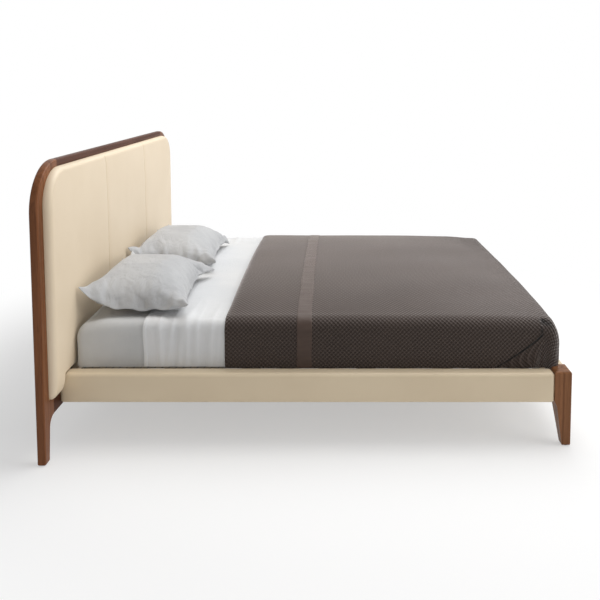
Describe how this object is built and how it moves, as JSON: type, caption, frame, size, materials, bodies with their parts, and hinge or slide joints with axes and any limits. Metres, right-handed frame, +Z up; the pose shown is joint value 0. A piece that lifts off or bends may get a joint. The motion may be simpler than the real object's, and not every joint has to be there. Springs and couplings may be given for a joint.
{
  "type": "double bed",
  "caption": "Double bed with a padded leather headboard in a rounded wooden frame, low leather-covered rails, corner legs, slatted base, mattress, pillows and quilted coverlet.",
  "frame": {"origin": "on the floor, under the middle of the bed's overall box", "axes": "+X from the head to the foot, +Y across the bed, +Z up"},
  "size_m": [2.15, 2.05, 1.195],
  "materials": {
    "backing_cloth": "plain woven lining",
    "bracket_steel": "black painted steel",
    "coverlet_quilt": "dark brown quilted cotton",
    "coverlet_satin": "smooth brown satin",
    "cream_leather": "soft satin leather, cream",
    "fastener_steel": "zinc plated steel",
    "foam": "padding foam",
    "glide_plastic": "moulded plastic pad",
    "leg_timber": "turned softwood",
    "mattress_ticking": "woven ticking",
    "pillow_cotton": "white cotton",
    "plain_timber": "plain planed softwood",
    "plywood": "plain plywood",
    "sheet_cotton": "pale grey cotton",
    "slat_timber": "plain planed birch",
    "walnut": "satin lacquered dark walnut"
  },
  "bodies": {
    "frame": {"beam_bracket_foot": "bracket_steel", "beam_bracket_head": "bracket_steel", "beam_screws": "fastener_steel", "centre_beam": "plain_timber", "centre_leg_1": "leg_timber", "centre_leg_2": "leg_timber", "centre_leg_pads": "glide_plastic", "centre_leg_studs": "fastener_steel", "corner_glides": "glide_plastic", "foot_bracket_bolts": "fastener_steel", "foot_bracket_left": "bracket_steel", "foot_bracket_right": "bracket_steel", "foot_dowels": "plain_timber", "foot_leg_left": "walnut", "foot_leg_right": "walnut", "foot_rail_core": "plain_timber", "foot_rail_cover": "cream_leather", "head_back_cover": "backing_cloth", "head_bottom_rail": "walnut", "head_bracket_bolts": "fastener_steel", "head_bracket_left": "bracket_steel", "head_bracket_right": "bracket_steel", "head_corner_left": "walnut", "head_corner_right": "walnut", "head_cushion": "foam", "head_dowels": "plain_timber", "head_leather_cover": "cream_leather", "head_panel": "plywood", "head_post_left": "walnut", "head_post_right": "walnut", "head_top_bar": "walnut", "ledge_screws": "fastener_steel", "side_ledge_left": "plain_timber", "side_ledge_right": "plain_timber", "side_rail_left_core": "plain_timber", "side_rail_left_cover": "cream_leather", "side_rail_right_core": "plain_timber", "side_rail_right_cover": "cream_leather", "slat_01": "slat_timber", "slat_02": "slat_timber", "slat_03": "slat_timber", "slat_04": "slat_timber", "slat_05": "slat_timber", "slat_06": "slat_timber", "slat_07": "slat_timber", "slat_08": "slat_timber", "slat_09": "slat_timber", "slat_10": "slat_timber", "slat_11": "slat_timber", "slat_12": "slat_timber", "slat_screws": "fastener_steel"},
    "mattress": {"mattress": "mattress_ticking", "fitted_sheet": "sheet_cotton", "flat_sheet": "sheet_cotton"},
    "coverlet": {"coverlet": "coverlet_quilt", "coverlet_band": "coverlet_satin"},
    "pillow_lower_left": {"pillow_lower_left": "pillow_cotton"},
    "pillow_lower_right": {"pillow_lower_right": "pillow_cotton"},
    "pillow_upper_left": {"pillow_upper_left": "pillow_cotton"},
    "pillow_upper_right": {"pillow_upper_right": "pillow_cotton"}
  },
  "joints": [
    {"name": "mattress_lift", "type": "slide", "parent": "frame", "child": "mattress", "axis": [0, 0, 1], "range_m": [0, 0.45]},
    {"name": "coverlet_lift", "type": "slide", "parent": "mattress", "child": "coverlet", "axis": [0, 0, 1], "range_m": [0, 0.3]},
    {"name": "pillow_lower_left_lift", "type": "slide", "parent": "mattress", "child": "pillow_lower_left", "axis": [0, 0, 1], "range_m": [0, 0.25]},
    {"name": "pillow_upper_left_lift", "type": "slide", "parent": "pillow_lower_left", "child": "pillow_upper_left", "axis": [0, 0, 1], "range_m": [0, 0.25]},
    {"name": "pillow_lower_right_lift", "type": "slide", "parent": "mattress", "child": "pillow_lower_right", "axis": [0, 0, 1], "range_m": [0, 0.25]},
    {"name": "pillow_upper_right_lift", "type": "slide", "parent": "pillow_lower_right", "child": "pillow_upper_right", "axis": [0, 0, 1], "range_m": [0, 0.25]}
  ]
}
